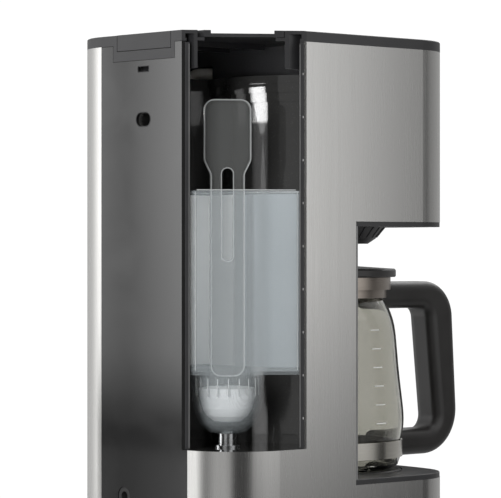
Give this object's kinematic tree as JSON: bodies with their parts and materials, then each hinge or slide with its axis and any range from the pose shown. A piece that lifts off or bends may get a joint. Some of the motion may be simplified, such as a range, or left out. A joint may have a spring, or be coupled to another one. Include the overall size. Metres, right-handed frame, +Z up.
{
  "type": "drip coffee maker",
  "caption": "Steel-wrapped drip coffee maker with an open corner bay showing the water tank and filter wand, swing-out basket, warming plate and glass carafe.",
  "frame": {"origin": "on the table, under the middle of the body", "axes": "+Z up, front with carafe and controls towards -Y, rear panel towards +Y, width along X"},
  "size_m": [0.195, 0.3288, 0.384],
  "materials": {
    "brushed_steel": "vertical brushed satin",
    "black_cover": "fine satin moulding",
    "gloss_black": "polished moulding",
    "grey_trim": "satin",
    "clear_tank": "clear with a blue-grey tint",
    "smoke_clear": "smoked clear moulding",
    "pod_white": "white fibre pod",
    "rubber_black": "matt",
    "silicone": "milky satin",
    "aluminium_cast": "cast",
    "zinc_steel": "plated",
    "plate_coating": "dark non-stick coating",
    "carafe_glass": "clear",
    "carafe_steel": "satin",
    "handle_black": "soft satin",
    "board_green": "lacquered board",
    "display": "tinted window",
    "button_grey": "satin",
    "signal_white": "moulded"
  },
  "bodies": {
    "housing": {"base_pan": "black_cover", "base_screws": "zinc_steel", "feet": "rubber_black", "steel_casing": "brushed_steel", "rear_panel": "black_cover", "cord_gland": "rubber_black", "bay_liner": "gloss_black", "fill_tray": "black_cover", "water_tank": "clear_tank", "outlet_tube": "zinc_steel", "tank_seal": "rubber_black", "recess_panel": "grey_trim", "base_deck": "black_cover", "warming_plate": "plate_coating", "plate_seal": "rubber_black", "heater_ring": "aluminium_cast", "heater_bracket": "zinc_steel", "thermostat": "zinc_steel", "thermal_fuses": "signal_white", "check_valve": "signal_white", "inlet_hose": "silicone", "outlet_hose": "silicone", "riser_tube": "silicone", "head_floor": "black_cover", "head_chassis": "black_cover", "shower_head": "black_cover", "top_rim": "black_cover", "top_deck": "black_cover", "lid_hinge_pin": "zinc_steel", "door_hinge_pin": "zinc_steel", "control_panel": "gloss_black", "display_window": "display", "control_board": "board_green", "terminal_block": "signal_white"},
    "tank_lid": {"tank_lid": "black_cover"},
    "filter": {"filter_wand": "smoke_clear", "cup_cap": "smoke_clear", "filter_cup": "smoke_clear", "filter_pod": "pod_white"},
    "basket": {"basket_door": "brushed_steel", "door_pull": "black_cover", "basket_holder": "black_cover", "drip_spring": "zinc_steel"},
    "filter_basket": {"filter_basket": "black_cover"},
    "drip_valve": {"drip_valve": "black_cover", "drip_seal": "rubber_black"},
    "carafe": {"carafe_glass": "carafe_glass", "carafe_band": "carafe_steel", "carafe_collar": "carafe_steel", "carafe_handle": "handle_black", "handle_screws": "zinc_steel"},
    "carafe_lid": {"carafe_lid": "handle_black"},
    "button_hour": {"button_hour": "button_grey"},
    "button_minute": {"button_minute": "button_grey"},
    "button_brew_later": {"button_brew_later": "button_grey"},
    "button_strength": {"button_strength": "button_grey"},
    "button_power": {"button_power": "button_grey"}
  },
  "joints": [
    {"name": "tank_lid_hinge", "type": "hinge", "parent": "housing", "child": "tank_lid", "pos_m": [0, 0.1145, 0.3785], "axis": [-1, 0, 0], "range_deg": [0, 95]},
    {"name": "filter_wand_lift", "type": "slide", "parent": "housing", "child": "filter", "axis": [0, 0, 1], "range_m": [0, 0.04]},
    {"name": "basket_swing", "type": "hinge", "parent": "housing", "child": "basket", "pos_m": [-0.071, -0.1147, 0.3], "axis": [0, 0, -1], "range_deg": [0, 70]},
    {"name": "filter_basket_lift", "type": "slide", "parent": "basket", "child": "filter_basket", "axis": [0, 0, 1], "range_m": [0, 0.008]},
    {"name": "drip_valve_lift", "type": "slide", "parent": "basket", "child": "drip_valve", "axis": [0, 0, 1], "range_m": [0, 0.003], "stiffness_N_per_m": 150, "springref_m": -0.002, "deforming": ["drip_spring"]},
    {"name": "carafe_slide", "type": "slide", "parent": "housing", "child": "carafe", "axis": [0, -1, 0], "range_m": [0, 0.25]},
    {"name": "carafe_lid_twist", "type": "hinge", "parent": "carafe", "child": "carafe_lid", "pos_m": [0, -0.06, 0.205], "axis": [0, 0, 1], "range_deg": [0, 45]},
    {"name": "button_hour_press", "type": "slide", "parent": "housing", "child": "button_hour", "axis": [0, 1, 0], "range_m": [0, 0.0012], "stiffness_N_per_m": 600},
    {"name": "button_minute_press", "type": "slide", "parent": "housing", "child": "button_minute", "axis": [0, 1, 0], "range_m": [0, 0.0012], "stiffness_N_per_m": 600},
    {"name": "button_brew_later_press", "type": "slide", "parent": "housing", "child": "button_brew_later", "axis": [0, 1, 0], "range_m": [0, 0.0012], "stiffness_N_per_m": 600},
    {"name": "button_strength_press", "type": "slide", "parent": "housing", "child": "button_strength", "axis": [0, 1, 0], "range_m": [0, 0.0012], "stiffness_N_per_m": 600},
    {"name": "button_power_press", "type": "slide", "parent": "housing", "child": "button_power", "axis": [0, 1, 0], "range_m": [0, 0.0012], "stiffness_N_per_m": 600}
  ]
}
